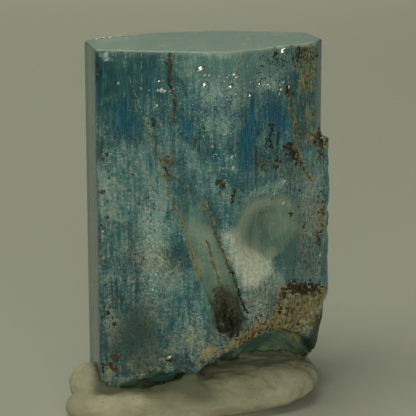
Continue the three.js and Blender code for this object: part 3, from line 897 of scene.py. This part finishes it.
# Single flakes: x, z, half length and tone, from dull to bright.
FLAKES = (
    (0.35, 31.85, 0.5, 1.2), (0.7, 31.2, 0.12, 0.7), (1.1, 31.2, 0.12, 0.6), (0.7, 30.5, 0.34, 0.9),
    (3.2, 31.3, 0.26, 0.8), (3.4, 31.1, 0.26, 0.8), (2.9, 30.25, 0.32, 1.2), (3.4, 29.6, 0.22, 0.9),
    (4.6, 29.3, 0.24, 0.9), (5.5, 30.2, 0.26, 0.9), (6.3, 30, 0.14, 0.9), (6.5, 29.8, 0.14, 0.6),
    (7.5, 29.4, 0.22, 0.8), (7.4, 29, 0.15, 0.6), (8.3, 29.5, 0.16, 0.7), (7.6, 32.8, 0.32, 0.9),
    (-3.3, 30.6, 0.18, 1), (-3.1, 29.8, 0.2, 0.6), (-3.4, 29.75, 0.14, 0.5), (-2.8, 29.7, 0.15, 0.6),
    (-3.5, 28.4, 0.13, 0.7), (-8.5, 16.8, 0.16, 0.8), (5.8, 9.9, 0.14, 0.8), (-4, 11.6, 0.16, 0.5),
    (-8, 32.75, 0.35, 0.1), (-2.5, 5.4, 0.32, 0.8), (7.9, 18.8, 0.2, 0.5), (7, 19.9, 0.16, 0.6),
    (8, 20.9, 0.2, 0.5), (3.1, 24, 0.2, 0.3), (3.2, 23, 0.22, 0.3), (1.4, 24.9, 0.12, 0.3),
    (2.4, 26, 0.12, 0.3), (-4.5, 16.2, 0.16, 0.2), (-3.9, 15.6, 0.18, 0.2), (-3.7, 13, 0.18, 0.25),
    (8.1, 25.4, 0.14, 0.2), (-6.9, 30.3, 0.14, 0.1), (-4.9, 29.9, 0.1, 0.1), (11.6, 13, 0.18, 0.3),
)


def sparkle_flakes(tree, material, lamp):
    """Small cleavage flakes: the pale ones are painted glints, and many of the brightest catch the lamp.
    """
    g = Grains(tree, 105)
    toward = np.array((0, -0.976, 0.217))
    # the bright ones face half way between the eye and the lamp
    bright = 0.75
    for x, z, size, tone in FLAKES:
        place, _ = g.surface(x, z)
        if place is None:
            continue
        facing = toward + unit(lamp - place) if tone > bright else None
        g.add(x, z, (size * 1.3, size * 0.8, size * 0.14), (0.5, 0, 0.8), tone, -2, facing)
    # a dusting of tiny chips under the termination and down the mottled streak
    g.scatters(
        ((2.4, 30.4), (3.4, 1.4), 60, 0.05, 0.7), ((6.4, 29.9), (1.6, 0.5), 60, 0.06, 0.7),
        ((-3.1, 29.75), (0.7, 0.12), 24, 0.05, 0.6), ((1.2, 27), (3, 2), 50, 0.045, 0.5),
        ((-4, 16.4), (1.2, 4.4), 60, 0.05, 0.4), ((6.4, 20.2), (2.6, 0.6), 40, 0.05, 0.5),
        ((2.4, 23.6), (1.6, 1.8), 40, 0.05, 0.4), ((-0.2, 8.6), (1.2, 2.6), 30, 0.05, 0.3),
        ((-7.6, 20.6), (1, 3.4), 30, 0.05, 0.3), ((-6.2, 23.6), (2.6, 2), 16, 0.045, 0.3),
    )
    g.line(LEFT_SCRATCH, 0.02, 0, wander=1, height=0.03, skip=0.6)
    g.line(((-4.8, 33), (-4.8, 29.3)), 0.02, 0.1, wander=0.5, height=0.04, skip=0.4)
    # bright nicks along the back left of the worn rim, turned to the lamp behind: painted highlights,
    # mirror-like flakes placed to catch that lamp
    rim_start = np.array((-9.9, 3.3, 33.22))
    along_rim = np.array((0.68, 0.73, 0))
    inward = np.array((0.73, -0.68, 0))
    out = unit(toward + np.array((-0.07, 0.81, 0.58)))
    across = unit(np.cross(out, along_rim))
    axes = (np.cross(across, out), across, out)
    for step in np.concatenate([np.arange(0.4, 2.8, 0.2), np.arange(3.4, 4.6, 0.2)]):
        off, grow = g.random.uniform(-1, 1, 2)
        spot = rim_start + along_rim * step + inward * (0.25 + 0.15 * off)
        g.lumps.append((spot, axes, (0.3 + 0.1 * grow, 0.2, 0.03), 1))
    g.piece("sparkle_flakes", material, level=1, rough=0.5)


# ---- The putty ----

PUTTY_VOXEL = 0.22
# The putty's own gap to the crystal, and how near to it a putty vertex is drawn against it.
PUTTY_GAP = 0.02
PUTTY_REACH = 0.5


def putty_surface(tree):
    """The putty as a fine mesh: finger-worked, creased, and pressed against the crystal."""
    piece = remeshed(own_copy("putty_pad_surface", PUTTY), PUTTY_VOXEL)
    mesh = piece.data
    p = per_vertex(mesh, "co")
    n = per_vertex(mesh, "normal")
    d = noise(p, 0.28, 31, 2) * 0.35 + noise(p, 1.1, 33, 3) * 0.16
    d -= (1 - smooth(0, 0.12, np.abs(noise(p, (0.35, 0.5, 0.9), 37, 2)))) * 0.12
    crease, _ = along(p, ((5.2, 4.6), (5.6, 4.1), (6.2, 3.4), (7.2, 2.6)))
    d -= (1 - smooth(0, 0.45, crease)) * smooth(-0.1, -0.5, n[:, 1]) * 0.3
    d = d * smooth(0.05, 0.8, p[:, 2])
    p = p + n * d[:, None]
    x, y, z = p.T
    # pressed down in front of the crystal's face, most of all close to it
    ahead_of_front = -0.98 * (y + 5.5) - 0.196 * (x + 9)
    ahead_of_right = 0.725 * (x - 3) - 0.689 * (y + 7.9)
    outside = np.maximum(ahead_of_front, ahead_of_right)
    pressed = 0.45 * smooth(3.4, 1.6, outside) + 0.3 * smooth(1.9, 0.6, outside)
    pressed = pressed * smooth(-10, -7.6, x) * smooth(0, -4, x)
    p[:, 2] -= pressed * smooth(1, 2.2, z)
    for i, point in enumerate(p):
        near, direction, _, distance = tree.find_nearest(Vector(point), 1)
        if near is None:
            continue
        inside = (Vector(point) - near).dot(direction) < 0
        if inside or distance < PUTTY_REACH:
            p[i] = near + direction * PUTTY_GAP
    move_to(mesh, p)
    # painted shade: the putty darkened in front of the crystal's foot, most of all close to it, for the
    # shadow the crystal casts there; less so to the right
    outside = outside + 0.5 * noise(p, 0.6, 35, 2)
    painted_shade = smooth(3.3, 1.6, outside) * smooth(-10.2, -8.8, x) * smooth(0.9, 2.2, z)
    mask(mesh, "painted_shade", painted_shade * (1 - 0.65 * smooth(0, 4, x)))
    mesh.materials.append(putty_material())
    return finish_piece(piece, PUTTY)


def putty_material():
    m = Nodes("mineral_putty")
    clean = m.mix(m.ramp(m.noise(0.35, 4, 0.6), 0.35, 0.65), (0.43, 0.395, 0.3), (0.56, 0.52, 0.415))
    # painted shade laid over the putty where the crystal shadows it
    shaded = m.coats(clean, (m.attribute("painted_shade"), 0.92, (0.115, 0.125, 0.08)))
    specked = m.mix(m.ramp(m.cells(1.3), 0.05, 0.09), (0.08, 0.07, 0.05), shaded)
    m.surface({"Base Color": specked, "Roughness": 0.75,
               "Normal": m.bump(m.noise(2.5, 5, 0.65), 0.2, 0.6)})
    return m.material


# ---- The stage ----

# Where the key lamp hangs, in millimetres of the crystal's own coordinates.
KEY_LAMP = (-150, -60, 440)


def floor():
    half = 1.5
    mesh = bpy.data.meshes.new("floor")
    corners = [(-half, -half, 0), (half, -half, 0), (half, half, 0), (-half, half, 0)]
    mesh.from_pydata(corners, [], [(0, 1, 2, 3)])
    m = Nodes("pale_floor")
    m.surface({"Base Color": (0.52, 0.52, 0.5), "Roughness": 0.9})
    mesh.materials.append(m.material)
    piece = new_object("floor", mesh)


def area_light(name, place, target, size, power, colour):
    light = bpy.data.lights.new(name, "AREA")
    light.shape = "RECTANGLE"
    light.size, light.size_y = size
    light.energy = power
    light.color = colour
    lamp = new_object(name, light)
    lamp.location = place
    lamp.rotation_euler = (Vector(target) - Vector(place)).to_track_quat("-Z", "Y").to_euler()


def stage():
    floor()
    world = bpy.data.worlds.new("studio")
    scene.world = world
    world.use_nodes = True
    background = world.node_tree.nodes["Background"]
    background.inputs["Color"].default_value = (0.085, 0.09, 0.066, 1)
    middle = framed((1, 1, 16))
    warm = (0.97, 1, 0.74)
    area_light("key", framed(KEY_LAMP), middle, (0.3, 0.3), 0.68, warm)
    area_light("fill", framed((60, -470, 120)), middle, (0.35, 0.2), 0.7, warm)
    area_light("back", framed((-60, 700, 500)), framed((0, 350, 0)), (0.5, 0.3), 1.45, warm)
    scene.view_settings.view_transform = "Standard"


# The camera: what it looks at, how far it is from that in metres, and its angles in degrees.
LOOK_AT = (1, -8, 19.5)
DISTANCE = 0.1324
ELEVATION = 12.5
FIELD_OF_VIEW = 15.79


def camera():
    data = bpy.data.cameras.new("camera")
    data.angle = math.radians(FIELD_OF_VIEW)
    data.clip_start = 0.01
    item = new_object("camera", data)
    elevation = math.radians(ELEVATION)
    item.location = framed(LOOK_AT) + Vector((0, -math.cos(elevation), math.sin(elevation))) * DISTANCE
    item.rotation_euler = (math.radians(90) - elevation, 0, 0)
    scene.camera = item


def surface_tree(mesh):
    """The mesh's faces, ready to be hit by rays and searched for the nearest point."""
    corners = [tuple(v.co) for v in mesh.vertices]
    return BVHTree.FromPolygons(corners, [tuple(f.vertices) for f in mesh.polygons])


camera()
stage()
crystal = crystal_surface()
tree = surface_tree(crystal.data)
finish_piece(crystal, CRYSTAL)
iron = iron_material()
rust_seams(tree, iron)
iron_specks(tree, iron)
dark_tubes(tree, iron)
iron_crust(tree, iron)
sparkle_flakes(tree, flake_material(), np.array(KEY_LAMP))
putty_surface(tree)
